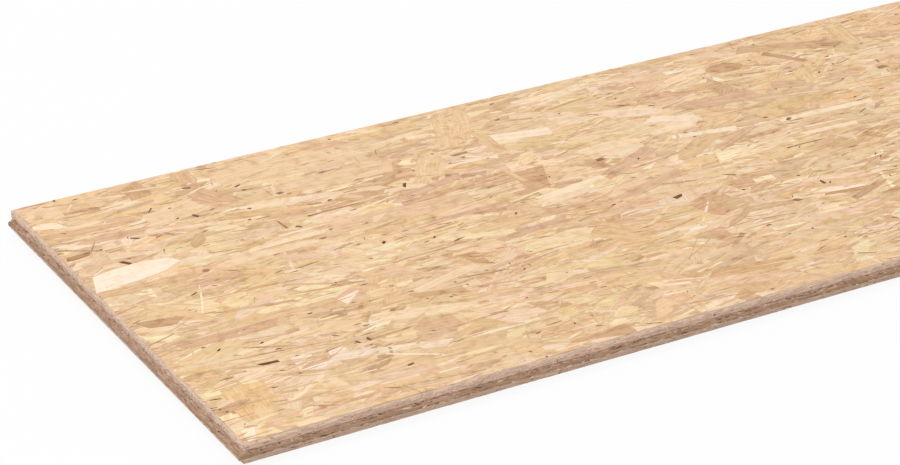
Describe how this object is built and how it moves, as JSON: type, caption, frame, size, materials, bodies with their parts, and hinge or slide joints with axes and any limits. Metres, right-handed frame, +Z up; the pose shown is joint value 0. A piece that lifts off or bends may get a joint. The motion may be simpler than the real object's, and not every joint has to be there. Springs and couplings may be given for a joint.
{
  "type": "oriented strand board panel",
  "caption": "Flat building board of pressed wood strands, with a tongue along one long and one short edge and a matching groove along the other two.",
  "frame": {"origin": "middle of the underside of the board's box, tongues included", "axes": "+X along the board, away from its short tongue; +Y across it, away from its long tongue; +Z up out of its upper face"},
  "size_m": [2.508, 0.633, 0.025],
  "materials": {
    "pressed_strands": "matt, pressed strands bonded with clear resin"
  },
  "bodies": {
    "root": {"strand_board": "pressed_strands"}
  },
  "joints": []
}
